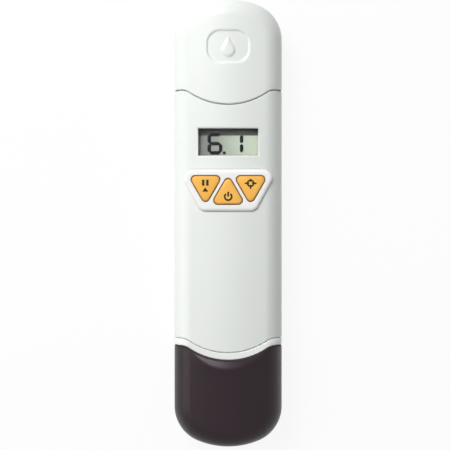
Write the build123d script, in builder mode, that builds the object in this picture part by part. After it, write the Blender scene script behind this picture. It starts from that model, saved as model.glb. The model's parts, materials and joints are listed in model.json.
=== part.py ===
from build123d import *
import math
import os

# Pocket pH meter, in millimetres. It lies on its back: +X is its right side, +Y runs up to the
# battery cap and +Z comes out of the front. The origin is under its middle, on the back face.

# Outline and section of the pen
pen_length = 150.0
pen_width = 36.0
end_radius = 26.6
end_side_radius = 12.6
front_round = 5.8
back_bevel = 2.5

# Walls and clearances
body_wall = 1.8
cap_wall = 1.5
neck_wall = 1.2
spigot_wall = 1.5
slide_clearance = 0.15
seat_clearance = 0.1
seam_gap = 0.15

# Wavy seams. The lengths run from each end of the pen to the seam's shoulders.
battery_end_length = 31.05
electrode_end_length = 36.8
collar_band = 2.3
seam_bevel = 0.3
rim_gap = 0.4
wave_drop = 4.8
wave_shoulder_x = 15.8
wave_shoulder_radius = 5.4

# Button cells in their tray
cell_diameter = 11.6
cell_thickness = 5.4
cell_count = 4
cell_clearance = 0.2
tray_skin = 0.5
tray_end_wall = 1.5
tray_offset = 1.05
tab_width = 12.0
tab_length = 6.0
tab_thickness = 1.8
tab_slot_length = 7.2
tab_slot_width = 2.7
contact_thickness = 0.4
contact_width = 4.5
leaf_width = 2.4

# Depth of the pen: a cell, the tray's skin, the neck and the cap around it
neck_inset = cap_wall + slide_clearance
tray_inset = neck_inset + neck_wall + slide_clearance
pen_depth = cell_diameter + 2 * (tray_skin + tray_inset)
axis_z = pen_depth / 2
split_z = pen_depth / 2

# Necks, spigots and seals
neck_length = 14.5
spigot_length = 7.2
cap_spigot_length = 12.2
thick_length = 9.0
collar_floor = 3.0
seal_width = 1.6
seal_depth = 0.7
seal_offset = 6.0
spigot_seal_offset = 2.0
seal_clearance = 0.05
pocket_inset = 4.0

# Display
display_offset = 17.1
window_length = 19.9
window_height = 9.1
window_bevel = 0.5
lens_height = 14.0
lens_thickness = 0.8
lens_rest = 0.9
panel_thickness = 2.0
frame_wall = 1.4
connector_height = 2.4
connector_width = 2.0
connector_inset = 2.0

# Keypad: three rounded triangular buttons in a raised plate
button_side = 11.4
button_corner = 1.3
button_spread = 7.45
plate_margin = 2.25
button_rise = 0.6
button_bevel = 0.45
button_clearance = 0.15
button_flange = 0.5
flange_thickness = 0.8
button_travel = 0.5
stem_size = 2.8
stem_entry = 0.4
switch_size = 6.0
switch_gap = 0.4
plate_offset = 26.1
plate_height = 14.05
plate_high_half = 16.7
plate_low_half = 9.2
plate_corner = 3.0
plate_rise = 1.1
plate_recess = 0.6
plate_edge = 0.5

# Circuit board and what it carries
board_thickness = 1.2
board_side_gap = 1.65
board_end_gap = 2.0
board_socket_gap = 4.0
chip_size = 8.0
chip_height = 1.2
chip_bevel = 0.3
small_part_length = 2.2
small_part_width = 1.4
small_part_height = 0.9
boss_high_offset = 5.45
boss_low_offset = 9.5
boss_diameter = 4.4
screw_diameter = 1.8
screw_depth = 3.2
screw_head_diameter = 3.4
screw_head_height = 1.0

# Electrode module
pin_pitch = 2.54
pin_count = 4
pin_size = 0.8
pin_entry = 4.0
pin_overlap = 4.0
socket_length = 6.0
socket_height = 4.0
electrode_board_length = 9.0
electrode_board_thickness = 1.0
glass_diameter = 7.2
guard_diameter = 14.0
guard_wall = 1.2
guard_gap = 0.75
guard_slot_length = 8.0
guard_slot_width = 4.6
bulb_diameter = 6.6
bulb_length = 4.0
bulb_bevel = 1.4
bulb_inset = 1.2
side_rod_diameter = 1.3
junction_length = 1.0
probe_inset = 2.5
sponge_thickness = 2.8
sponge_half_width = 9.0

# Relief on the battery cap: a rounded recess with a raised drop
emblem_offset = 16.45
emblem_width = 14.0
emblem_height = 10.6
emblem_depth = 0.45
emblem_corner = 4.4
drop_radius = 2.4
drop_height = 4.4
drop_sink = 1.2

# Bevel on the front of the electrode cap's rim
rim_bevel_depth = 1.4
rim_bevel_width = 2.8
rim_bevel_drop = 7.6

# Arcs of the ends: where the corner arcs start and how far they turn
end_corner_x = pen_width / 2 - end_side_radius
end_turn = math.degrees(math.asin(end_corner_x / (end_radius - end_side_radius)))
end_corner_y = pen_length / 2 - end_radius + end_corner_x / math.tan(math.radians(end_turn))

# Heights and places that follow
battery_seam_y = pen_length / 2 - battery_end_length
collar_seam_y = electrode_end_length - pen_length / 2
tray_low_y = battery_seam_y + tray_offset
tray_high_y = tray_low_y + 2 * tray_end_wall + cell_diameter + 2 * cell_clearance
bay_y = (tray_low_y + tray_high_y) / 2
neck_high_y = battery_seam_y + neck_length
thick_low_y = battery_seam_y - thick_length
band_high_y = collar_seam_y - seam_gap
band_low_y = band_high_y - collar_band
cap_rim_y = band_low_y - rim_gap
module_high_y = collar_seam_y + spigot_length
module_low_y = band_low_y - cap_spigot_length
spigot_inset = body_wall + slide_clearance
module_bore_inset = spigot_inset + spigot_wall
lens_length = pen_width - 2 * front_round - 2 * seat_clearance
panel_length = lens_length - 2 * lens_rest
panel_height = lens_height - 2 * lens_rest
display_y = battery_seam_y - display_offset
plate_high_y = battery_seam_y - plate_offset
plate_low_y = plate_high_y - plate_height
button_edge_high_y = plate_high_y - plate_margin
button_edge_low_y = plate_low_y + plate_margin
emblem_y = pen_length / 2 - emblem_offset
front_inner_z = pen_depth - body_wall
lens_low_z = front_inner_z - lens_thickness
panel_low_z = lens_low_z - panel_thickness
board_high_z = panel_low_z - connector_height
board_low_z = board_high_z - board_thickness
plate_low_z = pen_depth - plate_recess
plate_high_z = pen_depth + plate_rise
button_high_z = plate_high_z + button_rise
flange_high_z = front_inner_z - seat_clearance
flange_low_z = flange_high_z - flange_thickness
switch_high_z = flange_low_z - button_travel - switch_gap
board_width = pen_width - 2 * (neck_inset + neck_wall + board_side_gap)
board_high_y = tray_low_y - board_end_gap
board_low_y = module_high_y + board_socket_gap
boss_high_y = battery_seam_y - boss_high_offset
boss_low_y = board_low_y + boss_low_offset
socket_low_z = board_low_z - socket_height
pin_low_z = board_low_z - socket_height / 2 - pin_size / 2
button_radius = button_side / math.sqrt(3)
cell_row = cell_count * cell_thickness
bay_half = cell_row / 2 + contact_thickness + seat_clearance
guard_length = module_low_y + pen_length / 2 - pocket_inset - seat_clearance - sponge_thickness - guard_gap
far = 2 * pen_width

os.makedirs("parts", exist_ok=True)


def finish(builder, label):
    builder.part.label = label
    export_step(builder.part, f"parts/{label}.step")


# Outline of the pen seen from the front: straight sides and three arcs round each end
def pen_outline(inset):
    side_x = pen_width / 2 - inset
    side_radius = end_side_radius - inset
    with BuildSketch() as outline:
        with BuildLine():
            for way, start in ((1, 0), (-1, 180)):
                corner = (way * end_corner_x, way * end_corner_y)
                CenterArc(corner, side_radius, start, 90 - end_turn)
                middle = (0, way * (pen_length / 2 - end_radius))
                CenterArc(middle, end_radius - inset, start + 90 - end_turn, 2 * end_turn)
                corner = (-way * end_corner_x, way * end_corner_y)
                CenterArc(corner, side_radius, start + 90 + end_turn, 90 - end_turn)
                Line((way * side_x, -end_corner_y), (way * side_x, end_corner_y))
        make_face()
    return outline.sketch


# Whole closed form of the pen: rounded at the front, bevelled at the back
def pen_form():
    with BuildPart() as form:
        with BuildSketch():
            add(pen_outline(0))
        extrude(amount=pen_depth)
        fillet(form.faces().sort_by(Axis.Z)[-1].edges(), front_round)
        chamfer(form.faces().sort_by(Axis.Z)[0].edges(), back_bevel)
    return form.part


# A straight length of the pen's section. The skin has rounded front corners, and everything set
# in from it has flat ones, so that necks, bores and seals keep one clearance all round.
def pen_length_of(inset, low_y, high_y):
    bevel_share = 2 - math.sqrt(2)
    front_bevel = max((front_round - inset) * bevel_share, seat_clearance)
    rear_bevel = max(back_bevel - inset * bevel_share, seat_clearance)
    with BuildPart() as length:
        with BuildSketch(Plane.XZ.offset(-high_y)) as section:
            with Locations((0, axis_z)):
                Rectangle(pen_width - 2 * inset, pen_depth - 2 * inset)
            chamfer(section.vertices().group_by(Axis.Y)[0], rear_bevel)
            if inset > 0:
                chamfer(section.vertices().group_by(Axis.Y)[-1], front_bevel)
            else:
                fillet(section.vertices().group_by(Axis.Y)[-1], front_round)
        extrude(amount=high_y - low_y)
    return length.part


# Everything between a wavy seam and a straight line across the pen
def wave_block(shoulder_y, far_y, low_z=-1.0, high_z=pen_depth + 1.0, drop=wave_drop, slope_out=0.0):
    turn = 2 * math.degrees(math.atan(drop / wave_shoulder_x))
    middle_radius = wave_shoulder_x / math.sin(math.radians(turn)) - wave_shoulder_radius
    arc_y = shoulder_y - wave_shoulder_radius
    with BuildPart() as block:
        with BuildSketch(Plane.XY.offset(high_z)):
            with BuildLine():
                CenterArc((-wave_shoulder_x, arc_y), wave_shoulder_radius, 90, -turn)
                CenterArc((0, shoulder_y - drop + middle_radius), middle_radius, 270 - turn, 2 * turn)
                CenterArc((wave_shoulder_x, arc_y), wave_shoulder_radius, 90 + turn, -turn)
                Polyline(
                    (wave_shoulder_x, shoulder_y),
                    (far, shoulder_y),
                    (far, far_y),
                    (-far, far_y),
                    (-far, shoulder_y),
                    (-wave_shoulder_x, shoulder_y),
                )
            make_face()
        extrude(amount=low_z - high_z, taper=slope_out)
    return block.part


# Outer edges of a solid length of skin where wavy seams end it
def seam_edges(skin):
    ends = skin.faces().filter_by(lambda face: abs(face.normal_at().Y) > 0.7 and abs(face.normal_at().Z) < 0.1)
    edges = ends.edges()
    uprights = edges.filter_by(Axis.Z)
    sides = uprights.group_by(Axis.X)
    return (edges - uprights) + sides[0] + sides[-1]


# Ring of the pen's section that fills a groove
def seal_ring(outer_inset, inner_inset, low_y):
    with BuildPart() as ring:
        add(pen_length_of(outer_inset, low_y, low_y + seal_width))
        add(pen_length_of(inner_inset, low_y - 1, low_y + seal_width + 1), mode=Mode.SUBTRACT)
    return ring.part


# Rounded triangle of a button, point up or down, grown by a margin
def button_outline(grow, point_up):
    with BuildSketch() as outline:
        RegularPolygon(button_radius + 2 * grow, 3, rotation=90 if point_up else -90)
        fillet(outline.vertices(), button_corner + grow)
    return outline.sketch


# Rounded outline of the keypad plate, grown by a margin
def plate_outline(grow):
    with BuildSketch() as outline:
        with BuildLine():
            Polyline(
                (-plate_high_half, plate_high_y),
                (plate_high_half, plate_high_y),
                (plate_low_half, plate_low_y),
                (-plate_low_half, plate_low_y),
                close=True,
            )
        make_face()
        fillet(outline.vertices(), plate_corner)
        if grow:
            offset(amount=grow)
    return outline.sketch


# Name, side and direction of each button; the outer two point down
buttons = (("hold", -1, False), ("power", 0, True), ("calibrate", 1, False))


def button_place(side, point_up):
    if point_up:
        return (side * button_spread, button_edge_low_y + button_radius / 2)
    return (side * button_spread, button_edge_high_y - button_radius / 2)


# Body: shell, neck for the battery cap and open lower end, before it is split in two
neck_seal_y = neck_high_y - seal_offset - seal_width
with BuildPart() as body_shell:
    add(pen_length_of(0, collar_seam_y - far, battery_seam_y + 1))
    add(wave_block(battery_seam_y, battery_seam_y - 4 * far), mode=Mode.INTERSECT)
    add(wave_block(collar_seam_y, collar_seam_y + 4 * far), mode=Mode.INTERSECT)
    chamfer(seam_edges(body_shell.part), seam_bevel)
    add(pen_length_of(neck_inset, thick_low_y, neck_high_y))
    add(pen_length_of(body_wall, collar_seam_y - far, thick_low_y), mode=Mode.SUBTRACT)
    add(pen_length_of(neck_inset + neck_wall, thick_low_y - 1, neck_high_y + 1), mode=Mode.SUBTRACT)
    add(seal_ring(neck_inset - 1, neck_inset + seal_depth, neck_seal_y), mode=Mode.SUBTRACT)

lip_height = 1.0
lip_thickness = 0.8
lip_length = thick_low_y - module_high_y
lip_y = (thick_low_y + module_high_y) / 2
lip_x = pen_width / 2 - body_wall + lip_thickness / 2
boss_places = ((0, boss_low_y), (0, boss_high_y))

with BuildPart() as front_housing:
    add(body_shell.part)
    with BuildSketch(Plane.XY.offset(split_z)):
        Rectangle(far, 4 * far)
    extrude(amount=pen_depth, mode=Mode.INTERSECT)
    # Rebate for the rear housing's lip
    with BuildSketch(Plane.XY.offset(split_z)):
        with Locations((-lip_x, lip_y), (lip_x, lip_y)):
            Rectangle(lip_thickness + 2 * seat_clearance, lip_length + 2 * seat_clearance)
    extrude(amount=lip_height + seat_clearance, mode=Mode.SUBTRACT)
    # Window with a bevelled edge
    with BuildSketch(Plane.XY.offset(pen_depth)):
        with Locations((0, display_y)):
            Rectangle(window_length, window_height)
    extrude(amount=-body_wall, mode=Mode.SUBTRACT)
    window_edges = front_housing.edges().filter_by(GeomType.LINE).group_by(Axis.Z)[-1]
    window_edges = window_edges.filter_by_position(Axis.X, -window_length / 2 - 0.1, window_length / 2 + 0.1)
    chamfer(
        window_edges.filter_by_position(
            Axis.Y, display_y - window_height / 2 - 0.1, display_y + window_height / 2 + 0.1
        ),
        window_bevel,
    )
    # Recess for the keypad plate and holes for the buttons
    with BuildSketch(Plane.XY.offset(pen_depth)):
        add(plate_outline(seat_clearance))
    extrude(amount=-plate_recess, mode=Mode.SUBTRACT)
    for name, side, point_up in buttons:
        with BuildSketch(Plane.XY.offset(pen_depth)):
            with Locations(button_place(side, point_up)):
                add(button_outline(button_clearance, point_up))
        extrude(amount=-body_wall, mode=Mode.SUBTRACT)
    # Bosses that carry the circuit board
    with BuildSketch(Plane.XY.offset(board_high_z)):
        with Locations(boss_places):
            Circle(boss_diameter / 2)
    extrude(until=Until.NEXT)
    with BuildSketch(Plane.XY.offset(board_high_z)):
        with Locations(boss_places):
            Circle(screw_diameter / 2)
    extrude(amount=screw_depth, mode=Mode.SUBTRACT)
finish(front_housing, "front_housing")

with BuildPart() as rear_housing:
    add(body_shell.part)
    with BuildSketch(Plane.XY.offset(split_z)):
        Rectangle(far, 4 * far)
    extrude(amount=-pen_depth, mode=Mode.INTERSECT)
    with BuildSketch(Plane.XY.offset(split_z - lip_height)):
        with Locations((-lip_x, lip_y), (lip_x, lip_y)):
            Rectangle(lip_thickness, lip_length)
    extrude(amount=2 * lip_height)
finish(rear_housing, "rear_housing")

# Keypad plate, seated in its recess
with BuildPart() as keypad_bezel:
    with BuildSketch(Plane.XY.offset(plate_low_z)):
        add(plate_outline(0))
    extrude(amount=plate_high_z - plate_low_z)
    chamfer(keypad_bezel.faces().sort_by(Axis.Z)[-1].edges(), plate_edge)
    for name, side, point_up in buttons:
        with BuildSketch(Plane.XY.offset(plate_high_z)):
            with Locations(button_place(side, point_up)):
                add(button_outline(button_clearance, point_up))
        extrude(amount=plate_low_z - plate_high_z, mode=Mode.SUBTRACT)
finish(keypad_bezel, "keypad_bezel")

# Buttons: a cap, a flange under the housing and a stem into the switch
for name, side, point_up in buttons:
    with BuildPart() as button:
        with BuildSketch(Plane.XY.offset(flange_low_z)):
            with Locations(button_place(side, point_up)):
                add(button_outline(0, point_up))
        extrude(amount=button_high_z - flange_low_z)
        chamfer(button.faces().sort_by(Axis.Z)[-1].edges(), button_bevel)
        with BuildSketch(Plane.XY.offset(flange_low_z)):
            with Locations(button_place(side, point_up)):
                add(button_outline(button_flange, point_up))
        extrude(amount=flange_thickness)
        with BuildSketch(Plane.XY.offset(switch_high_z - stem_entry)):
            with Locations(button_place(side, point_up)):
                Rectangle(stem_size, stem_size)
        extrude(amount=flange_low_z - switch_high_z + stem_entry)
    finish(button, f"{name}_button")

    # Switch on the board, bored for the stem and its travel
    with BuildPart() as switch:
        with BuildSketch(Plane.XY.offset(board_high_z)):
            with Locations(button_place(side, point_up)):
                Rectangle(switch_size, switch_size)
        extrude(amount=switch_high_z - board_high_z)
        with BuildSketch(Plane.XY.offset(switch_high_z)):
            with Locations(button_place(side, point_up)):
                Rectangle(stem_size + 2 * slide_clearance, stem_size + 2 * slide_clearance)
        extrude(amount=-(stem_entry + button_travel + switch_gap), mode=Mode.SUBTRACT)
    finish(switch, f"{name}_switch")

# Display: clear window, glass panel, its frame and the two rubber connectors
with BuildPart() as display_window:
    with BuildSketch(Plane.XY.offset(lens_low_z)):
        with Locations((0, display_y)):
            RectangleRounded(lens_length, lens_height, frame_wall)
    extrude(amount=lens_thickness)
finish(display_window, "display_window")

with BuildPart() as display_panel:
    with BuildSketch(Plane.XY.offset(panel_low_z)):
        with Locations((0, display_y)):
            Rectangle(panel_length, panel_height)
    extrude(amount=panel_thickness)
finish(display_panel, "display_panel")

with BuildPart() as display_frame:
    with BuildSketch(Plane.XY.offset(board_high_z)):
        with Locations((0, display_y)):
            open_length = panel_length + 2 * seat_clearance
            open_height = panel_height + 2 * seat_clearance
            RectangleRounded(open_length + 2 * frame_wall, open_height + 2 * frame_wall, frame_wall)
            Rectangle(open_length, open_height, mode=Mode.SUBTRACT)
    extrude(amount=lens_low_z - board_high_z)
finish(display_frame, "display_frame")

for name, way in (("upper", 1), ("lower", -1)):
    with BuildPart() as connector:
        strip_y = display_y + way * (panel_height / 2 - connector_inset)
        with BuildSketch(Plane.XY.offset(board_high_z)):
            with Locations((0, strip_y)):
                Rectangle(panel_length - 2 * seat_clearance, connector_width)
        extrude(amount=connector_height)
    finish(connector, f"{name}_connector")

# Circuit board with its holes, chip and small parts
with BuildPart() as circuit_board:
    with BuildSketch(Plane.XY.offset(board_low_z)):
        with Locations((0, (board_low_y + board_high_y) / 2)):
            Rectangle(board_width, board_high_y - board_low_y)
        with Locations(boss_places):
            Circle(screw_diameter / 2 + seat_clearance, mode=Mode.SUBTRACT)
    extrude(amount=board_thickness)
finish(circuit_board, "circuit_board")

chip_y = (boss_low_y + plate_low_y) / 2
with BuildPart() as main_chip:
    with BuildSketch(Plane.XY.offset(board_high_z)):
        with Locations((0, chip_y)):
            Rectangle(chip_size, chip_size)
    extrude(amount=chip_height)
    chamfer(main_chip.faces().sort_by(Axis.Z)[-1].edges(), chip_bevel)
finish(main_chip, "main_chip")

with BuildPart() as board_parts:
    with BuildSketch(Plane.XY.offset(board_high_z)):
        for side in (-1, 1):
            with Locations((side * chip_size, chip_y)):
                with GridLocations(1, 2 * small_part_width, 1, 3):
                    Rectangle(small_part_length, small_part_width)
    extrude(amount=small_part_height)
finish(board_parts, "board_parts")

for number, place in enumerate(boss_places, 1):
    with BuildPart() as screw:
        with BuildSketch(Plane.XY.offset(board_low_z - screw_head_height)):
            with Locations(place):
                Circle(screw_head_diameter / 2)
        extrude(amount=screw_head_height)
        with BuildSketch(Plane.XY.offset(board_low_z)):
            with Locations(place):
                Circle(screw_diameter / 2)
        extrude(amount=board_thickness + screw_depth - seat_clearance)
    finish(screw, f"board_screw_{number}")

# Leaf springs under the board's upper end that press on the tray's contacts
contact_x = cell_row / 2 + contact_thickness / 2
leaf_tip_y = tray_low_y - 2 * contact_thickness
leaf_foot_y = boss_high_y + boss_diameter / 2
with BuildPart() as board_contacts:
    with BuildSketch(Plane.YZ):
        with BuildLine():
            Polyline(
                (leaf_foot_y, board_low_z),
                (leaf_tip_y, board_low_z),
                (leaf_tip_y, axis_z - contact_width / 2),
                (leaf_tip_y - contact_thickness, axis_z - contact_width / 2),
                (leaf_tip_y - contact_thickness, board_low_z - contact_thickness),
                (leaf_foot_y, board_low_z - contact_thickness),
                close=True,
            )
        make_face()
    extrude(amount=contact_x + leaf_width / 2, both=True)
    with BuildSketch(Plane.XY):
        with Locations((0, board_high_y)):
            Rectangle(2 * contact_x - leaf_width, far)
    extrude(amount=pen_depth, mode=Mode.SUBTRACT)
finish(board_contacts, "board_contacts")

# Socket for the electrode's pins, under the board's lower end
pin_low_y = board_low_y + pin_entry
with BuildPart() as electrode_socket:
    with BuildSketch(Plane.XY.offset(socket_low_z)):
        with Locations((0, board_low_y + socket_length / 2)):
            Rectangle((pin_count + 1) * pin_pitch, socket_length)
    extrude(amount=socket_height)
    with BuildSketch(Plane.XZ.offset(-board_low_y)):
        with Locations((0, pin_low_z + pin_size / 2)):
            with GridLocations(pin_pitch, 1, pin_count, 1):
                Rectangle(pin_size + 2 * seat_clearance, pin_size + 2 * seat_clearance)
    extrude(amount=-(pin_entry + seat_clearance), mode=Mode.SUBTRACT)
finish(electrode_socket, "electrode_socket")

# Battery tray: an open cradle with a pull tab
with BuildPart() as battery_tray:
    add(pen_length_of(tray_inset, tray_low_y, tray_high_y))
    with BuildSketch(Plane.YZ):
        with Locations((bay_y, axis_z)):
            Circle(cell_diameter / 2 + cell_clearance)
        with Locations((bay_y, axis_z + pen_depth / 2)):
            Rectangle(cell_diameter + 2 * cell_clearance, pen_depth)
    extrude(amount=bay_half, both=True, mode=Mode.SUBTRACT)
    # Slots for the contacts
    with BuildSketch(Plane.XY.offset(axis_z - contact_width / 2)):
        with Locations((-contact_x, tray_low_y), (contact_x, tray_low_y)):
            Rectangle(contact_thickness + 2 * seat_clearance, 4 * tray_end_wall)
    extrude(amount=contact_width + pen_depth, mode=Mode.SUBTRACT)
    with BuildSketch(Plane.XY.offset(axis_z - tab_thickness / 2)):
        with Locations((0, tray_high_y + tab_length / 2)):
            Rectangle(tab_width, tab_length + tray_end_wall)
        with Locations((0, tray_high_y + tab_length / 2)):
            SlotOverall(tab_slot_length, tab_slot_width, mode=Mode.SUBTRACT)
    extrude(amount=tab_thickness)
    add(pen_length_of(0, tray_low_y - far, tray_low_y), mode=Mode.SUBTRACT)
finish(battery_tray, "battery_tray")

with BuildPart() as cell_contacts:
    contact_low_y = tray_low_y - contact_thickness
    with BuildSketch(Plane.XY.offset(axis_z - contact_width / 2)):
        with Locations((-contact_x, (contact_low_y + bay_y) / 2), (contact_x, (contact_low_y + bay_y) / 2)):
            Rectangle(contact_thickness, bay_y - contact_low_y)
    extrude(amount=contact_width)
finish(cell_contacts, "cell_contacts")

for number in range(cell_count):
    with BuildPart() as coin_cell:
        cell_x = -cell_row / 2 + number * cell_thickness
        with BuildSketch(Plane.YZ.offset(cell_x)):
            with Locations((bay_y, axis_z)):
                Circle(cell_diameter / 2)
        extrude(amount=cell_thickness)
    finish(coin_cell, f"coin_cell_{number + 1}")

# Seals in the grooves of the neck and the two spigots
spigot_seal_y = module_high_y - seal_width - spigot_seal_offset
cap_spigot_seal_y = module_low_y + spigot_seal_offset
seals = (
    ("battery_cap_seal", cap_wall, neck_inset, neck_seal_y),
    ("module_seal", body_wall, spigot_inset, spigot_seal_y),
    ("electrode_cap_seal", cap_wall, neck_inset, cap_spigot_seal_y),
)
for name, bore_inset, groove_inset, low_y in seals:
    with BuildPart() as seal:
        add(seal_ring(bore_inset + seal_clearance, groove_inset + seal_depth - seal_clearance, low_y))
    finish(seal, name)


# Closed end of the pen beyond a seam, hollow for the neck or spigot inside it
def end_cap(shoulder_y, way):
    bore_low_y, bore_high_y = sorted((way * end_corner_y, shoulder_y - way * far))
    with BuildPart() as cap:
        add(pen_form())
        add(wave_block(shoulder_y, shoulder_y + way * 4 * far), mode=Mode.INTERSECT)
        chamfer(seam_edges(cap.part), seam_bevel)
        add(pen_length_of(cap_wall, bore_low_y, bore_high_y), mode=Mode.SUBTRACT)
        with BuildSketch(Plane.XY.offset(cap_wall)):
            add(pen_outline(pocket_inset))
            with Locations((0, way * (end_corner_y + pen_length / 2 - seat_clearance))):
                Rectangle(far, pen_length, mode=Mode.INTERSECT)
        extrude(amount=pen_depth - 2 * cap_wall, mode=Mode.SUBTRACT)
    return cap.part


with BuildPart() as battery_cap:
    add(end_cap(battery_seam_y + seam_gap, 1))
    # Rounded recess with a raised drop
    with BuildSketch(Plane.XY.offset(pen_depth)):
        with Locations((0, emblem_y)):
            RectangleRounded(emblem_width, emblem_height, emblem_corner)
    extrude(amount=-emblem_depth, mode=Mode.SUBTRACT)
    with BuildSketch(Plane.XY.offset(pen_depth - emblem_depth)):
        with BuildLine():
            drop_y = emblem_y - drop_sink
            tip_angle = math.degrees(math.acos(drop_radius / drop_height))
            shoulder_x = drop_radius * math.sin(math.radians(tip_angle))
            drop_shoulder_y = drop_y + drop_radius * math.cos(math.radians(tip_angle))
            CenterArc((0, drop_y), drop_radius, 90 + tip_angle, 360 - 2 * tip_angle)
            Polyline(
                (shoulder_x, drop_shoulder_y),
                (0, drop_y + drop_height),
                (-shoulder_x, drop_shoulder_y),
            )
        make_face()
    extrude(amount=emblem_depth)
finish(battery_cap, "battery_cap")

with BuildPart() as electrode_cap:
    add(end_cap(cap_rim_y, -1))
    # Bevel on the front of the rim, widest in the middle
    slope = math.degrees(math.atan(rim_bevel_width / rim_bevel_depth))
    bevel_low_z = pen_depth - rim_bevel_depth
    add(
        wave_block(cap_rim_y, far, bevel_low_z, pen_depth + 0.001, rim_bevel_drop, slope),
        mode=Mode.SUBTRACT,
    )
finish(electrode_cap, "electrode_cap")

# Electrode module: white band with a spigot on each side of it
with BuildPart() as electrode_collar:
    add(pen_length_of(0, band_low_y - far, band_high_y + 1))
    add(wave_block(band_low_y, band_low_y + far), mode=Mode.INTERSECT)
    add(wave_block(band_high_y, band_high_y - far), mode=Mode.INTERSECT)
    chamfer(seam_edges(electrode_collar.part), seam_bevel)
    add(pen_length_of(neck_inset, module_low_y, band_low_y - wave_drop))
    add(pen_length_of(spigot_inset, band_low_y - wave_drop, module_high_y))
    add(pen_length_of(module_bore_inset, module_low_y + collar_floor, module_high_y + 1), mode=Mode.SUBTRACT)
    add(seal_ring(spigot_inset - 1, spigot_inset + seal_depth, spigot_seal_y), mode=Mode.SUBTRACT)
    add(seal_ring(neck_inset - 1, neck_inset + seal_depth, cap_spigot_seal_y), mode=Mode.SUBTRACT)
    with BuildSketch(Plane.XZ.offset(-module_low_y)):
        with Locations((0, axis_z)):
            Circle(glass_diameter / 2 + seat_clearance)
    extrude(amount=-collar_floor, mode=Mode.SUBTRACT)
finish(electrode_collar, "electrode_collar")

# Glass electrode with its guard, all round the axis of the pen
electrode_axis = Plane(origin=(0, module_low_y, axis_z), x_dir=(1, 0, 0), z_dir=(0, -1, 0))


def round_length(radius, start, length, hole_radius=0.0):
    with BuildPart() as rod:
        with BuildSketch(electrode_axis.offset(start)):
            Circle(radius)
            if hole_radius:
                Circle(hole_radius, mode=Mode.SUBTRACT)
        extrude(amount=length)
    return rod.part


electrode_board_high_y = module_high_y - 2 * seat_clearance
electrode_board_low_y = electrode_board_high_y - electrode_board_length
with BuildPart() as electrode_board:
    board_span = pen_width - 2 * module_bore_inset - 2 * seat_clearance
    with BuildSketch(Plane.XY.offset(pin_low_z - electrode_board_thickness)):
        with Locations((0, (electrode_board_low_y + electrode_board_high_y) / 2)):
            Rectangle(board_span, electrode_board_length)
    extrude(amount=electrode_board_thickness)
finish(electrode_board, "electrode_board")

with BuildPart() as contact_pins:
    pin_high_y = board_low_y + pin_entry
    pin_foot_y = electrode_board_high_y - pin_overlap
    with BuildSketch(Plane.XY.offset(pin_low_z)):
        with Locations((0, (pin_high_y + pin_foot_y) / 2)):
            with GridLocations(pin_pitch, 1, pin_count, 1):
                Rectangle(pin_size, pin_high_y - pin_foot_y)
    extrude(amount=pin_size)
finish(contact_pins, "contact_pins")

guard_radius = guard_diameter / 2
glass_radius = glass_diameter / 2
with BuildPart() as sensor_guard:
    add(round_length(guard_radius, 0, guard_length, guard_radius - guard_wall))
    # Slots that let the liquid in round the bulb
    with BuildSketch(electrode_axis.offset(guard_length - guard_slot_length)):
        Rectangle(guard_slot_width, pen_width)
        Rectangle(pen_width, guard_slot_width)
    extrude(amount=guard_slot_length, mode=Mode.SUBTRACT)
finish(sensor_guard, "sensor_guard")

stem_start = module_low_y - electrode_board_low_y
bulb_start = guard_length - bulb_inset - bulb_length
with BuildPart() as glass_stem:
    add(round_length(glass_radius, stem_start, bulb_start - stem_start))
finish(glass_stem, "glass_stem")

with BuildPart() as glass_bulb:
    add(round_length(bulb_diameter / 2, bulb_start, bulb_length))
    chamfer(glass_bulb.edges().sort_by(Axis.Y)[0], bulb_bevel)
finish(glass_bulb, "glass_bulb")

# Reference junction and temperature probe stand on the collar's floor, one on each side of the stem
rod_reach = (glass_radius + guard_radius - guard_wall) / 2
probe_length = guard_length - probe_inset
rods = (("reference_junction", -1, junction_length), ("temperature_probe", 1, probe_length))
for name, side, length in rods:
    with BuildPart() as rod:
        with BuildSketch(electrode_axis):
            with Locations((side * rod_reach * math.sqrt(0.5), rod_reach * math.sqrt(0.5))):
                Circle(side_rod_diameter / 2)
        extrude(amount=length)
    finish(rod, name)

# Sponge that keeps the bulb wet, in the bottom of the electrode cap
with BuildPart() as storage_sponge:
    with BuildSketch(Plane.XY.offset(cap_wall + seat_clearance)):
        add(pen_outline(pocket_inset + seat_clearance))
        with Locations((0, -pen_length / 2 + pocket_inset + seat_clearance)):
            Rectangle(2 * sponge_half_width, 2 * sponge_thickness, mode=Mode.INTERSECT)
    extrude(amount=pen_depth - 2 * cap_wall - 2 * seat_clearance)
finish(storage_sponge, "storage_sponge")
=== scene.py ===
import json
import math

import bmesh
import bpy
import numpy as np
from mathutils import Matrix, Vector
from mathutils.geometry import tessellate_polygon


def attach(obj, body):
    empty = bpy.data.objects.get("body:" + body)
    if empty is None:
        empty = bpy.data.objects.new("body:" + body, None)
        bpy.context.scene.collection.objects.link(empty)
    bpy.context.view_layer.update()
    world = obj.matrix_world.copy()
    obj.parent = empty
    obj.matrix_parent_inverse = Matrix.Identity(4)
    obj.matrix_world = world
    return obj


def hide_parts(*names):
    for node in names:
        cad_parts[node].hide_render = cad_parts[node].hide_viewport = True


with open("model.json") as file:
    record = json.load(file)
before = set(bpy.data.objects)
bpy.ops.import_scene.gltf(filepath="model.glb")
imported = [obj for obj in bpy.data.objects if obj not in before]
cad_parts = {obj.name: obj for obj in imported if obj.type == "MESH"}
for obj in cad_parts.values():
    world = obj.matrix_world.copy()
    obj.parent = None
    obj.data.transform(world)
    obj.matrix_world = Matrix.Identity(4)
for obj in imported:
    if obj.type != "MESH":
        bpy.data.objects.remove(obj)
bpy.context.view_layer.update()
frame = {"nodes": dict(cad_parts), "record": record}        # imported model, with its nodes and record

nodes = frame["nodes"]
mm = 0.001
print("frame loaded:", len(nodes), "nodes")


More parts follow.
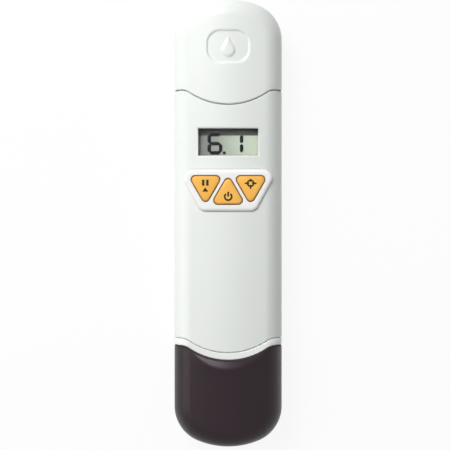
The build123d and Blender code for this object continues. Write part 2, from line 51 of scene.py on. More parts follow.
# camera: straight down on the front, a little off the middle as in the picture
cameraSet = {
    "place": (-1.05, -0.7, 432.6),      # mm
    "lens": 100.0,
    "sensor": 36.0,
    "clip": (0.01, 20.0),               # m
}

cameraData = bpy.data.cameras.new("benchCamera")
cameraData.lens = cameraSet["lens"]
cameraData.sensor_width = cameraSet["sensor"]
cameraData.clip_start, cameraData.clip_end = cameraSet["clip"]
camera = bpy.data.objects.new("benchCamera", cameraData)
camera.location = Vector(cameraSet["place"]) * mm
bpy.context.scene.collection.objects.link(camera)
bpy.context.scene.camera = camera
bpy.context.scene.view_settings.view_transform = "Standard"
print("camera set")


# node helpers
def join(tree, source, target):
    tree.links.new(source, target)


def addNode(tree, kind, settings=None, values=None):
    # a value is a number, a colour or the socket that feeds the input; inputs go by name or by place
    node = tree.nodes.new(kind)
    for key, value in (settings or {}).items():
        setattr(node, key, value)
    for key, value in (values or {}).items():
        if isinstance(value, bpy.types.NodeSocket):
            tree.links.new(value, node.inputs[key])
        else:
            node.inputs[key].default_value = value
    return node


def opaque(color):
    return (color[0], color[1], color[2], 1.0)


def mixColor(tree, share, low, high):
    # low where share is 0 and high where it is 1; each is a colour or a socket
    return addNode(tree, "ShaderNodeMix", {"data_type": "RGBA"}, {0: share, 6: low, 7: high}).outputs[2]


def seenRay(tree):
    # 1 where the camera, a mirror or a glass looks, 0 where light is gathered
    path = addNode(tree, "ShaderNodeLightPath")
    first = addNode(tree, "ShaderNodeMath", {"operation": "MAXIMUM"}, {
        0: path.outputs["Is Camera Ray"], 1: path.outputs["Is Glossy Ray"]})
    second = addNode(tree, "ShaderNodeMath", {"operation": "MAXIMUM"}, {
        0: first.outputs[0], 1: path.outputs["Is Transmission Ray"]})
    return second.outputs[0]


# lamps, in metres and watts: a soft key from the upper left, a long low lamp at the left, and a room that
# dims to the lower right
lampSet = {
    "key": {"place": (-0.21, 0.34, 0.52), "size": (0.30, 0.30), "power": 3.0, "color": (1.0, 1.0, 0.99)},
    "side": {"place": (-0.45, -0.06, 0.20), "size": (0.12, 0.45), "power": 0.42, "color": (1.0, 0.99, 0.97)},
    "aim": (0, 0, 0.009),
    "roomBright": (0.66, 0.66, 0.65),
    "roomDim": (0.11, 0.115, 0.115),
    "roomTurn": (0.65, -0.76, 0.0),       # the way in which the room grows dimmer
}


def addLamp(name, values):
    # area lamp that faces the middle of the pen
    data = bpy.data.lights.new(name, "AREA")
    data.shape = "RECTANGLE"
    data.size, data.size_y = values["size"]
    data.energy = values["power"]
    data.color = values["color"]
    lamp = bpy.data.objects.new(name, data)
    lamp.location = values["place"]
    aim = Vector(lampSet["aim"]) - lamp.location
    lamp.rotation_euler = aim.to_track_quat("-Z", "Y").to_euler()
    bpy.context.scene.collection.objects.link(lamp)


addLamp("keyLamp", lampSet["key"])
addLamp("sideLamp", lampSet["side"])

world = bpy.data.worlds.new("studioWorld")
bpy.context.scene.world = world
world.use_nodes = True
tree = world.node_tree
tree.nodes.clear()
roomPlace = addNode(tree, "ShaderNodeTexCoord")
roomDot = addNode(tree, "ShaderNodeVectorMath", {"operation": "DOT_PRODUCT"}, {
    0: roomPlace.outputs["Generated"], 1: lampSet["roomTurn"]})
roomShare = addNode(tree, "ShaderNodeMapRange", values={"Value": roomDot.outputs["Value"], "From Min": -1.0})
roomLight = addNode(tree, "ShaderNodeBackground", values={
    "Color": mixColor(tree, roomShare.outputs[0], opaque(lampSet["roomBright"]), opaque(lampSet["roomDim"]))})
roomWhite = addNode(tree, "ShaderNodeBackground", values={"Color": (1, 1, 1, 1)})
roomMix = addNode(tree, "ShaderNodeMixShader", values={
    0: seenRay(tree), 1: roomLight.outputs[0], 2: roomWhite.outputs[0]})
addNode(tree, "ShaderNodeOutputWorld", values={"Surface": roomMix.outputs[0]})
print("lamps set")


def newMaterial(name, shaderValues):
    # a plain shader with these values on its sockets
    material = bpy.data.materials.new(name)
    material.use_nodes = True
    tree = material.node_tree
    tree.nodes.clear()
    shader = addNode(tree, "ShaderNodeBsdfPrincipled", values=shaderValues)
    output = addNode(tree, "ShaderNodeOutputMaterial", values={"Surface": shader.outputs[0]})
    return material, tree, shader, output


def newGroup(name, inputs, outputs):
    # inputs are (socket name, kind, default), outputs are (socket name, kind)
    group = bpy.data.node_groups.new(name, "ShaderNodeTree")
    for label, kind, default in inputs:
        socket = group.interface.new_socket(label, in_out="INPUT", socket_type=kind)
        socket.default_value = default
    for label, kind in outputs:
        group.interface.new_socket(label, in_out="OUTPUT", socket_type=kind)
    return group, addNode(group, "NodeGroupInput"), addNode(group, "NodeGroupOutput")


mouldSet = {
    "cloudDetail": (3.0, 0.55), "grainDetail": (2.0, 0.6), "smearDetail": (4.0, 0.62),
    "smearScale": 240.0, "smearLow": 0.35, "smearHigh": 0.7,
    "crownSpan": 0.030,      # m, width of the rise across a face
}


def addNoise(tree, place, scale, detail):
    # detail is the pair (detail, roughness) of the noise
    return addNode(tree, "ShaderNodeTexNoise", values={
        "Vector": place, "Scale": scale, "Detail": detail[0], "Roughness": detail[1]}).outputs["Fac"]


def buildMouldGroup():
    # moulded plastic: cloudy shift between two colours, spark-eroded grain, rubbed spots, and a crown that
    # swells the face across its width as the cosine of its X
    group, given, out = newGroup(
        "mouldedSurface",
        [
            ("Color", "NodeSocketColor", (0.8, 0.8, 0.8, 1)),
            ("Cloud Color", "NodeSocketColor", (0.7, 0.7, 0.7, 1)),
            ("Cloud Scale", "NodeSocketFloat", 60.0),
            ("Grain Scale", "NodeSocketFloat", 6000.0),
            ("Grain Height", "NodeSocketFloat", 0.000006),
            ("Rough Low", "NodeSocketFloat", 0.3),
            ("Rough High", "NodeSocketFloat", 0.4),
            ("Crown", "NodeSocketFloat", 0.0),
        ],
        [("Color", "NodeSocketColor"), ("Roughness", "NodeSocketFloat"), ("Normal", "NodeSocketVector")],
    )
    s, given = mouldSet, given.outputs
    place = addNode(group, "ShaderNodeTexCoord").outputs["Object"]
    cloud = addNoise(group, place, given["Cloud Scale"], s["cloudDetail"])
    join(group, mixColor(group, cloud, given["Color"], given["Cloud Color"]), out.inputs["Color"])
    grain = addNoise(group, place, given["Grain Scale"], s["grainDetail"])
    smear = addNoise(group, place, s["smearScale"], s["smearDetail"])
    rough = addNode(group, "ShaderNodeMapRange", values={
        "Value": smear, "From Min": s["smearLow"], "From Max": s["smearHigh"],
        "To Min": given["Rough Low"], "To Max": given["Rough High"]})
    join(group, rough.outputs["Result"], out.inputs["Roughness"])
    split = addNode(group, "ShaderNodeSeparateXYZ", values={"Vector": place})
    turn = addNode(group, "ShaderNodeMath", {"operation": "MULTIPLY"}, {
        0: split.outputs["X"], 1: math.pi / s["crownSpan"]})
    wave = addNode(group, "ShaderNodeMath", {"operation": "COSINE"}, {0: turn.outputs[0]})
    crown = addNode(group, "ShaderNodeBump", values={
        "Strength": 1.0, "Distance": given["Crown"], "Height": wave.outputs[0]})
    bump = addNode(group, "ShaderNodeBump", values={
        "Strength": 1.0, "Distance": given["Grain Height"], "Height": grain, "Normal": crown.outputs["Normal"]})
    join(group, bump.outputs["Normal"], out.inputs["Normal"])
    return group


mouldGroup = buildMouldGroup()


def mouldedMaterial(name, values, shaderValues):
    # values feed the moulded group, shaderValues go straight on the shader
    material, tree, shader, output = newMaterial(name, shaderValues)
    mould = addNode(tree, "ShaderNodeGroup", {"node_tree": mouldGroup}, {
        key: opaque(value) if "Color" in key else value for key, value in values.items()})
    join(tree, mould.outputs["Color"], shader.inputs["Base Color"])
    join(tree, mould.outputs["Roughness"], shader.inputs["Roughness"])
    join(tree, mould.outputs["Normal"], shader.inputs["Normal"])
    return material


finishSet = {
    "shellWhite": {
        "Color": (0.775, 0.80, 0.775), "Cloud Color": (0.745, 0.775, 0.75),
        "Rough Low": 0.34, "Rough High": 0.42, "Crown": 0.0020},
    "bandWhite": {
        "Color": (0.84, 0.85, 0.835), "Cloud Color": (0.80, 0.815, 0.80),
        "Rough Low": 0.10, "Rough High": 0.18, "Grain Height": 0.000001},
    "capDark": {
        "Color": (0.0105, 0.0045, 0.0075), "Cloud Color": (0.009, 0.0036, 0.0063),
        "Rough Low": 0.33, "Rough High": 0.39, "Grain Height": 0.000003, "Crown": 0.0034},
    "plasticBlack": {
        "Color": (0.022, 0.022, 0.023), "Cloud Color": (0.03, 0.03, 0.03),
        "Rough Low": 0.5, "Rough High": 0.6},
    "plasticGrey": {
        "Color": (0.33, 0.34, 0.35), "Cloud Color": (0.29, 0.30, 0.31),
        "Rough Low": 0.45, "Rough High": 0.55},
    "rubberBlack": {
        "Color": (0.018, 0.018, 0.018), "Cloud Color": (0.026, 0.026, 0.026),
        "Rough Low": 0.65, "Rough High": 0.8, "Grain Scale": 3000.0, "Grain Height": 0.00001},
    "rubberGrey": {
        "Color": (0.20, 0.20, 0.21), "Cloud Color": (0.24, 0.24, 0.25),
        "Rough Low": 0.7, "Rough High": 0.8},
    "boardGreen": {
        "Color": (0.018, 0.12, 0.045), "Cloud Color": (0.012, 0.09, 0.035),
        "Rough Low": 0.28, "Rough High": 0.36},
    "metalScrew": {
        "Color": (0.55, 0.55, 0.56), "Cloud Color": (0.48, 0.48, 0.50),
        "Rough Low": 0.22, "Rough High": 0.36},
    "metalCell": {
        "Color": (0.70, 0.70, 0.68), "Cloud Color": (0.62, 0.62, 0.60),
        "Rough Low": 0.18, "Rough High": 0.30},
    "metalBrass": {
        "Color": (0.78, 0.60, 0.26), "Cloud Color": (0.70, 0.52, 0.22),
        "Rough Low": 0.2, "Rough High": 0.35},
    "plateWhite": {
        "Color": (0.86, 0.87, 0.865), "Cloud Color": (0.84, 0.85, 0.845),
        "Rough Low": 0.30, "Rough High": 0.38},
    "inkDark": {
        "Color": (0.040, 0.028, 0.014), "Cloud Color": (0.055, 0.038, 0.02),
        "Rough Low": 0.45, "Rough High": 0.55},
    "inkDisplay": {
        "Color": (0.004, 0.004, 0.005), "Cloud Color": (0.006, 0.006, 0.007),
        "Rough Low": 0.5, "Rough High": 0.6},
    "junctionWhite": {
        "Color": (0.78, 0.77, 0.73), "Cloud Color": (0.68, 0.67, 0.63),
        "Rough Low": 0.8, "Rough High": 0.9, "Grain Scale": 2500.0, "Grain Height": 0.00003},
    "spongeYellow": {
        "Color": (0.72, 0.58, 0.22), "Cloud Color": (0.50, 0.38, 0.12),
        "Rough Low": 0.85, "Rough High": 0.95, "Cloud Scale": 900.0,
        "Grain Scale": 1400.0, "Grain Height": 0.0003},
}
shaderSet = {
    "inkDisplay": {"Specular IOR Level": 0.1},
    "inkDark": {"Specular IOR Level": 0.12},
    "capDark": {"Specular IOR Level": 0.34, "Specular Tint": (1.0, 0.88, 0.92, 1.0)},
    "metalScrew": {"Metallic": 1.0},
    "metalCell": {"Metallic": 1.0},
    "metalBrass": {"Metallic": 1.0},
}
finishes = {name: mouldedMaterial(name, values, shaderSet.get(name, {})) for name, values in finishSet.items()}


def keyMaterial(name, values):
    # amber plastic that darkens to orange-brown down its edge, a painted shade of the rounded edge and of the
    # gap round the key, read from the piece's own edge attribute
    material = mouldedMaterial(name, values["mould"], values["shader"])
    tree = material.node_tree
    shader = next(n for n in tree.nodes if n.type == "BSDF_PRINCIPLED")
    mould = next(n for n in tree.nodes if n.type == "GROUP")
    edge = addNode(tree, "ShaderNodeAttribute", {"attribute_name": "edgeShadeShare"})
    # painted shade: mixes the orange-brown in down the key's edge
    paintedEdgeShade = mixColor(tree, edge.outputs["Fac"], mould.outputs["Color"], opaque(values["edge"]))
    join(tree, paintedEdgeShade, shader.inputs["Base Color"])
    return material


finishes["keyAmber"] = keyMaterial("keyAmber", {
    "mould": {"Color": (0.94, 0.54, 0.11), "Cloud Color": (0.84, 0.40, 0.055), "Cloud Scale": 260.0,
              "Rough Low": 0.30, "Rough High": 0.40},
    "shader": {"Coat Weight": 0.15, "Coat Roughness": 0.2, "Specular IOR Level": 0.3},
    # colour of the painted shade down the key's edge
    "edge": (0.42, 0.13, 0.012),
})


clearSet = {
    "windowClear": {"color": (0.95, 0.965, 0.955), "rough": 0.02, "ior": 1.12},
    "glassClear": {"color": (0.90, 0.95, 0.95), "rough": 0.0, "ior": 1.5},
}
hazeSet = {"scale": 300.0, "detail": 3.0, "low": 0.4, "high": 0.75, "rise": 0.03}


def clearMaterial(name, values):
    # clear plastic or glass with a faint haze; light for what lies under it passes straight through. The
    # plain Roughness is what is taken where the haze is left out
    color = opaque(values["color"])
    material, tree, shader, output = newMaterial(name, {
        "Base Color": color, "Roughness": values["rough"], "IOR": values["ior"], "Transmission Weight": 1.0})
    place = addNode(tree, "ShaderNodeTexCoord").outputs["Object"]
    haze = addNode(tree, "ShaderNodeTexNoise", values={
        "Vector": place, "Scale": hazeSet["scale"], "Detail": hazeSet["detail"]})
    rough = addNode(tree, "ShaderNodeMapRange", values={
        "Value": haze.outputs["Fac"], "From Min": hazeSet["low"], "From Max": hazeSet["high"],
        "To Min": values["rough"], "To Max": values["rough"] + hazeSet["rise"]})
    join(tree, rough.outputs["Result"], shader.inputs["Roughness"])
    through = addNode(tree, "ShaderNodeBsdfTransparent", values={"Color": color})
    path = addNode(tree, "ShaderNodeLightPath")
    mix = addNode(tree, "ShaderNodeMixShader", values={
        0: path.outputs["Is Shadow Ray"], 1: shader.outputs[0], 2: through.outputs[0]})
    join(tree, mix.outputs[0], output.inputs["Surface"])
    return material


for name, values in clearSet.items():
    finishes[name] = clearMaterial(name, values)


# the panel's green-grey at the right is its own colour; the darker grey at the left and the dark strip along
# the top are painted shadows of the window's walls
displaySet = {
    "left": (0.12, 0.12, 0.117), "shadedLeftX": -10.5,
    "right": (0.32, 0.35, 0.29), "rightX": 8.0,
    "strip": (0.03, 0.027, 0.028), "shadowStripY": 29.1, "shadowStripSoft": 0.25,
    "specular": 0.3, "speckle": 9000.0, "rough": (0.42, 0.6),
}


def displayMaterial(name, values):
    # liquid crystal panel: green-grey, darkened to grey at the left by a painted shadow of the window's left
    # wall, with a dark strip along its top that is a painted shadow of the window's upper wall
    material, tree, shader, output = newMaterial(name, {"Specular IOR Level": values["specular"]})
    place = addNode(tree, "ShaderNodeTexCoord").outputs["Object"]
    split = addNode(tree, "ShaderNodeSeparateXYZ", values={"Vector": place})
    smooth = {"interpolation_type": "SMOOTHSTEP"}
    # painted shade: darker at the left, where the window's left wall casts its shadow
    across = addNode(tree, "ShaderNodeMapRange", smooth, {
        "Value": split.outputs["X"], "From Min": values["shadedLeftX"] * mm, "From Max": values["rightX"] * mm})
    pale = mixColor(tree, across.outputs["Result"], opaque(values["left"]), opaque(values["right"]))
    # painted shadow of the window's upper wall along the top of the panel
    strip = addNode(tree, "ShaderNodeMapRange", smooth, {
        "Value": split.outputs["Y"], "From Min": (values["shadowStripY"] - values["shadowStripSoft"]) * mm,
        "From Max": (values["shadowStripY"] + values["shadowStripSoft"]) * mm})
    withPaintedShadow = mixColor(tree, strip.outputs["Result"], pale, opaque(values["strip"]))
    join(tree, withPaintedShadow, shader.inputs["Base Color"])
    speckle = addNode(tree, "ShaderNodeTexNoise", values={
        "Vector": place, "Scale": values["speckle"], "Detail": 1.0})
    rough = addNode(tree, "ShaderNodeMapRange", values={
        "Value": speckle.outputs["Fac"], "To Min": values["rough"][0], "To Max": values["rough"][1]})
    join(tree, rough.outputs["Result"], shader.inputs["Roughness"])
    return material


finishes["displayGreyPaintedShade"] = displayMaterial("displayGreyPaintedShade", displaySet)

finishOfSlot = {
    "white_shell": "shellWhite", "white_band": "bandWhite", "dark_cap": "capDark", "amber_key": "keyAmber",
    "clear_window": "windowClear", "display_glass": "displayGreyPaintedShade", "black_plastic": "plasticBlack",
    "grey_tray": "plasticGrey", "rubber_connector": "rubberGrey", "rubber_seal": "rubberBlack",
    "green_board": "boardGreen", "steel_screw": "metalScrew", "steel_cell": "metalCell",
    "brass_contact": "metalBrass", "clear_glass": "glassClear", "white_junction": "junctionWhite",
    "sponge": "spongeYellow",
}
for part in frame["record"]["subparts"]:
    for socket in nodes[part["node"]].material_slots:
        socket.material = finishes[finishOfSlot[part["material_slot"]]]
print("finishes on the frame set")


# floor: pale and white to the eye, and it keeps the pen's soft shadow
floorSet = {"half": 3.0, "color": (0.86, 0.86, 0.86), "rough": 0.7, "white": 0.9}      # half its side in m
half = floorSet["half"]
floorMesh = bpy.data.meshes.new("benchTop")
floorMesh.from_pydata(
    [(-half, -half, 0), (half, -half, 0), (half, half, 0), (-half, half, 0)], [], [(0, 1, 2, 3)])
floorMaterial, tree, shader, output = newMaterial("benchWhite", {
    "Base Color": opaque(floorSet["color"]), "Roughness": floorSet["rough"]})
glow = addNode(tree, "ShaderNodeEmission", values={"Color": (1, 1, 1, 1), "Strength": 1.0})
share = addNode(tree, "ShaderNodeMath", {"operation": "MULTIPLY"}, {0: seenRay(tree), 1: floorSet["white"]})
floorMix = addNode(tree, "ShaderNodeMixShader", values={
    0: share.outputs[0], 1: shader.outputs[0], 2: glow.outputs[0]})
join(tree, floorMix.outputs[0], output.inputs["Surface"])
floorMesh.materials.append(floorMaterial)
floor = bpy.data.objects.new("benchTop", floorMesh)
bpy.context.scene.collection.objects.link(floor)
print("floor set")


# the pen's own outline and section, in mm
penSet = {
    "length": 150.0, "width": 36.0, "depth": 18.6,
    "endRadius": 26.6, "cornerRadius": 12.6,
    "frontRound": 5.8, "backBevel": 2.5,
    "bevelIn": (0.38, 0.92),      # inward direction at the two edges of the back bevel
    "waveDrop": 4.8, "waveX": 15.8, "waveRound": 5.4,
}
cornerX = penSet["width"] / 2 - penSet["cornerRadius"]
endTurn = math.asin(cornerX / (penSet["endRadius"] - penSet["cornerRadius"]))
cornerY = penSet["length"] / 2 - penSet["endRadius"] + cornerX / math.tan(endTurn)


def waveLine(x, shoulder, drop):
    # a wide hollow arc in the middle that turns over a small round at each shoulder
    small, edge = penSet["waveRound"], penSet["waveX"]
    turn = 2 * math.atan(drop / edge)
    wide = edge / math.sin(turn) - small
    a = np.abs(x)
    hollow = shoulder - drop + wide - np.sqrt(np.maximum(wide ** 2 - a ** 2, 0))
    rounded = shoulder - small + np.sqrt(np.maximum(small ** 2 - (edge - a) ** 2, 0))
    return np.where(a < wide * math.sin(turn), hollow, np.where(a < edge, rounded, shoulder))


def sectionProfile(filletSteps):
    # inset from the pen's side, height, and the inward direction, from the back face round to the front face
    turns = np.linspace(0, math.pi / 2, filletSteps)
    r, depth, bevel = penSet["frontRound"], penSet["depth"], penSet["backBevel"]
    small, large = penSet["bevelIn"]
    inset = np.concatenate([[bevel, 0, 0], r - r * np.cos(turns)])
    z = np.concatenate([[0, bevel, (bevel + depth - r) / 2], depth - r + r * np.sin(turns)])
    inX = np.concatenate([[small, large, 1], np.cos(turns)])
    inZ = np.concatenate([[large, small, 0], -np.sin(turns)])
    return inset, z, inX, inZ


def ease(v):
    # smooth step from 0 to 1: v squared times (3 - 2 v)
    v = np.clip(v, 0, 1)
    return v * v * (3 - 2 * v)


def gridFaces(rows, columns, start):
    # quads of a grid of points kept row by row
    i = np.arange(rows - 1)[:, None] * columns + np.arange(columns - 1)[None, :] + start
    return np.stack([i, i + 1, i + columns + 1, i + columns], -1).reshape(-1, 4)


def atHeight(line, z):
    # a flat line of points lifted to height z
    return np.concatenate([line, np.full((len(line), 1), z)], -1)


def meshFrom(name, points, faces, weld=0.0015, flat=False):
    # welds points closer than weld mm, and turns faces outward from the middle, or up on a flat print
    mesh = bpy.data.meshes.new(name)
    mesh.from_pydata(np.asarray(points, float) * mm, [], [list(f) for f in faces])
    form = bmesh.new()
    form.from_mesh(mesh)
    bmesh.ops.remove_doubles(form, verts=form.verts, dist=weld * mm)
    bmesh.ops.dissolve_degenerate(form, edges=form.edges, dist=weld * mm * 0.2)      # slivers
    bmesh.ops.recalc_face_normals(form, faces=form.faces)
    middle = sum((v.co for v in form.verts), Vector()) / len(form.verts)
    if flat:
        bmesh.ops.reverse_faces(form, faces=[f for f in form.faces if f.normal.z < 0])
    elif sum((f.calc_center_median() - middle).dot(f.normal) * f.calc_area() for f in form.faces) < 0:
        bmesh.ops.reverse_faces(form, faces=form.faces)
    form.to_mesh(mesh)
    form.free()
    return mesh


sharpAngle = 35      # degrees, an edge over it stays sharp


def addPiece(name, mesh, finish, body, replaced=(), angle=sharpAngle):
    piece = bpy.data.objects.new(name, mesh)
    bpy.context.scene.collection.objects.link(piece)
    mesh.materials.clear()
    mesh.materials.append(finishes[finish])
    mesh.shade_smooth()
    mesh.set_sharp_from_angle(angle=math.radians(angle))
    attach(piece, body)
    if replaced:
        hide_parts(*replaced)
    return piece


def bakeModifiers(piece):
    # puts the modifiers into the mesh
    shape = bpy.data.meshes.new_from_object(piece.evaluated_get(bpy.context.evaluated_depsgraph_get()))
    piece.modifiers.clear()
    piece.data = shape
    return shape


def wallIn(piece, thickness):
    # gives an open skin its wall, inward
    wall = piece.modifiers.new("wall", "SOLIDIFY")
    wall.thickness = thickness * mm
    wall.offset = -1
    wall.use_even_offset = True
    shape = bakeModifiers(piece)
    shape.shade_smooth()
    shape.set_sharp_from_angle(angle=math.radians(sharpAngle))


# closed ends of the pen
capSet = {
    "wall": 1.2, "reliefRise": 2.0,                                               # mm
    "rimSteps": 6, "straight": 90, "corner": 26, "middle": 50, "fillet": 20,      # points along each stretch
}


def capPoints(way, seamY, rimRound, relief):
    # way is 1 for the upper end and -1 for the lower one, and y is counted from the middle of the pen
    # towards that end. The skin is the offset outline carried up the section; its front and back faces
    # are filled from the seam to the same outline. Next to the seam the surface turns inward by a
    # quarter round, and relief(x, y) lifts or sinks the front.
    s = capSet
    turns = np.linspace(0, math.pi / 2, s["rimSteps"])
    rimDistance = np.concatenate([rimRound * (1 - np.cos(turns)), np.full(s["straight"], rimRound)])
    rimDepth = np.concatenate([rimRound * (1 - np.sin(turns)), np.zeros(s["straight"])])
    share = np.concatenate([np.zeros(s["rimSteps"]), np.linspace(0, 1, s["straight"] + 1)[1:]])
    cornerTurns = np.linspace(0, math.pi / 2 - endTurn, s["corner"])[1:]
    middleTurns = np.linspace(math.pi / 2 - endTurn, math.pi / 2, s["middle"])[1:]

    def rimLine(x):
        # the seam, counted towards this end
        return way * waveLine(x, seamY, penSet["waveDrop"])

    def plan(inset):
        # right half of the outline at that inset
        sideX = penSet["width"] / 2 - inset
        cornerRound, endRound = penSet["cornerRadius"] - inset, penSet["endRadius"] - inset
        rim = rimLine(np.array(sideX))
        x = np.concatenate([
            np.full(len(share), sideX),
            cornerX + cornerRound * np.cos(cornerTurns),
            endRound * np.cos(middleTurns)])
        y = np.concatenate([
            rim + rimDistance + share * (cornerY - rim - rimRound),
            cornerY + cornerRound * np.sin(cornerTurns),
            penSet["length"] / 2 - penSet["endRadius"] + endRound * np.sin(middleTurns)])
        return x, y

    inset, z, inX, inZ = sectionProfile(s["fillet"])
    depth = np.concatenate([rimDepth, np.zeros(len(cornerTurns) + len(middleTurns))])
    rows = []
    for row in range(len(inset)):
        x, y = plan(inset[row])
        rise = np.clip((z[row] - penSet["depth"] + penSet["frontRound"]) / s["reliefRise"], 0, 1)
        lift = relief(x, y) * rise - depth
        x = x + inX[row] * lift
        high = z[row] - inZ[row] * lift
        half = np.stack([x, y, high], -1)
        rows.append(np.concatenate([half, half[-2::-1] * (-1, 1, 1)]))
    side = np.array(rows)
    points, faces = [side.reshape(-1, 3)], [gridFaces(side.shape[0], side.shape[1], 0)]
    for faceInset, faceZ, up in ((inset[-1], penSet["depth"], 1), (inset[0], 0.0, -1)):
        x, y = plan(faceInset)
        first = len(rimDistance) - 1
        x = np.concatenate([x[first:], -x[first:][-2::-1]])
        y = np.concatenate([y[first:], y[first:][-2::-1]])
        rim = rimLine(x)
        gridY = rim[None] + rimDistance[:, None] + share[:, None] * (y - rim - rimRound)[None]
        gridX = np.broadcast_to(x, gridY.shape)
        gridZ = faceZ - up * rimDepth[:, None] + (relief(gridX, gridY) if up > 0 else np.zeros(gridY.shape))
        faces.append(gridFaces(*gridY.shape, sum(len(p) for p in points)))
        points.append(np.stack([gridX, gridY, gridZ], -1).reshape(-1, 3))
    points = np.concatenate(points)
    points[:, 1] *= way
    return points, np.concatenate(faces)


upperSet = {
    "seamY": 44.26, "rimRound": 0.42,
    "emblemY": 58.55, "emblemHalf": (7.0, 5.3), "emblemCorner": 4.4, "emblemDepth": 0.45, "edge": 0.32,
    "dropY": 57.35, "dropRound": 2.3, "dropTip": 0.3, "dropLength": 3.9, "dropRise": 0.5, "dropShoulder": 1.1,
}


def upperRelief(x, y):
    # a rounded box sunk by a soft edge, with a swollen drop in it; both from their distance to the outline
    s = upperSet
    qx = np.abs(x) - s["emblemHalf"][0] + s["emblemCorner"]
    qy = np.abs(y - s["emblemY"]) - s["emblemHalf"][1] + s["emblemCorner"]
    box = np.hypot(np.maximum(qx, 0), np.maximum(qy, 0)) + np.minimum(np.maximum(qx, qy), 0) - s["emblemCorner"]
    lean = (s["dropRound"] - s["dropTip"]) / s["dropLength"]
    rise = math.sqrt(1 - lean ** 2)
    px, py = np.abs(x), y - s["dropY"]
    along = -lean * px + rise * py
    tip = np.hypot(px, py - s["dropLength"]) - s["dropTip"]
    flank = rise * px + lean * py - s["dropRound"]
    drop = np.where(along < 0, np.hypot(px, py) - s["dropRound"],
                    np.where(along > rise * s["dropLength"], tip, flank))
    sunk = -s["emblemDepth"] * (1 - ease(box / s["edge"] / 2 + 0.5))
    swollen = s["dropRise"] * np.sqrt(np.clip(1 - np.clip(drop / s["dropShoulder"] + 1, 0, 1) ** 2, 0, 1))
    return sunk + swollen


upperMesh = meshFrom("upperCapSkin", *capPoints(1, upperSet["seamY"], upperSet["rimRound"], upperRelief))
upperCap = addPiece("upperCapSkin", upperMesh, "shellWhite", "upper_cap", ["battery_cap"])
wallIn(upperCap, capSet["wall"])
print("upper cap built")


lowerSet = {
    "seamY": -41.15, "rimRound": 0.2,
    "crescent": 2.5, "rimSink": 0.55, "crest": 0.30, "fade": 3.0, "soft": 0.10,
    "leastWidth": 0.05, "leastShare": 0.02,
}


def lowerRelief(x, y):
    # under the rim the front climbs out of a sunk edge to a soft crest, then falls away again; the climb is
    # widest in the middle and runs out at the shoulders. The two meet in a soft minimum, which is
    # k times the logarithm of the sum of their exponentials over k, each with its sign turned; where there
    # is no crescent, k times log 2 is given back, so that the skin stays on the section
    s = lowerSet
    rim = -waveLine(x, s["seamY"], penSet["waveDrop"])
    low = -waveLine(x, s["seamY"], penSet["waveDrop"] + s["crescent"])
    width = np.maximum(low - rim, 0)
    share = width / s["crescent"]
    t = y - rim
    climb = -s["rimSink"] * share + (s["rimSink"] + s["crest"]) * share * t / np.maximum(width, s["leastWidth"])
    fall = s["crest"] * share * (1 - ease((t - width) / s["fade"]))
    k = s["soft"]
    return -k * np.logaddexp(-climb / k, -fall / k) + k * math.log(2) * (share < s["leastShare"])


lowerMesh = meshFrom("lowerCapSkin", *capPoints(-1, lowerSet["seamY"], lowerSet["rimRound"], lowerRelief))
lowerCap = addPiece("lowerCapSkin", lowerMesh, "capDark", "lower_cap", ["electrode_cap"])
wallIn(lowerCap, capSet["wall"])
print("lower cap built")


smoothSet = {"weld": 0.002, "flatAngle": 0.3, "weight": 80, "square": 0.9999}      # mm, degrees, share, cosine
smoothPieces = {      # new name, finish, body, slot and sharp angle
    "front_housing": ("frontShell", "shellWhite", "meter", "white_shell", 42),
    "rear_housing": ("rearShell", "shellWhite", "meter", "white_shell", 42),
    "electrode_collar": ("collarBand", "bandWhite", "electrode_module", "white_band", 55),
    "sensor_guard": ("guardTube", "plasticGrey", "electrode_module", "grey_tray", 35),
    "glass_bulb": ("bulbGlass", "glassClear", "electrode_module", "clear_glass", 60),
}


def smoothCopy(node, name, finish, body, slot, angle):
    # the frame's own solid with its points welded, flat faces joined and curved ones smoothed; faces square
    # to an axis are shaded dead flat
    s = smoothSet
    form = bmesh.new()
    form.from_mesh(nodes[node].data)
    bmesh.ops.remove_doubles(form, verts=form.verts, dist=s["weld"] * mm)
    bmesh.ops.dissolve_limit(form, angle_limit=math.radians(s["flatAngle"]), verts=form.verts, edges=form.edges)
    bmesh.ops.triangulate(form, faces=[f for f in form.faces if len(f.verts) > 4])
    mesh = bpy.data.meshes.new(name)
    form.to_mesh(mesh)
    form.free()
    piece = addPiece(name, mesh, finish, body, [node], angle)
    even = piece.modifiers.new("evenNormals", "WEIGHTED_NORMAL")
    even.weight = s["weight"]
    even.keep_sharp = True
    shape = bakeModifiers(piece)
    normals = np.empty(len(shape.loops) * 3, np.float32)
    shape.corner_normals.foreach_get("vector", normals)
    normals = normals.reshape(-1, 3)
    faceNormals = np.empty(len(shape.polygons) * 3, np.float32)
    shape.polygons.foreach_get("normal", faceNormals)
    counts = np.empty(len(shape.polygons), np.int32)
    shape.polygons.foreach_get("loop_total", counts)
    cornerFaces = np.repeat(faceNormals.reshape(-1, 3), counts, axis=0)
    square = np.abs(cornerFaces).max(1) > s["square"]
    normals[square] = cornerFaces[square]
    shape.normals_split_custom_set(normals.tolist())


for node, values in smoothPieces.items():
    smoothCopy(node, *values)
print("housings smoothed")


# black ring in the joint between the band and the dark cap, a dark piece put in the gap as a painted shadow of
# the shade that falls there
jointShadowSet = {
    "upper": -40.62, "lower": -41.17, "outer": 0.45, "inner": 1.6,      # mm
    "fillet": 12, "front": 80, "back": 10,                              # points along each stretch
}


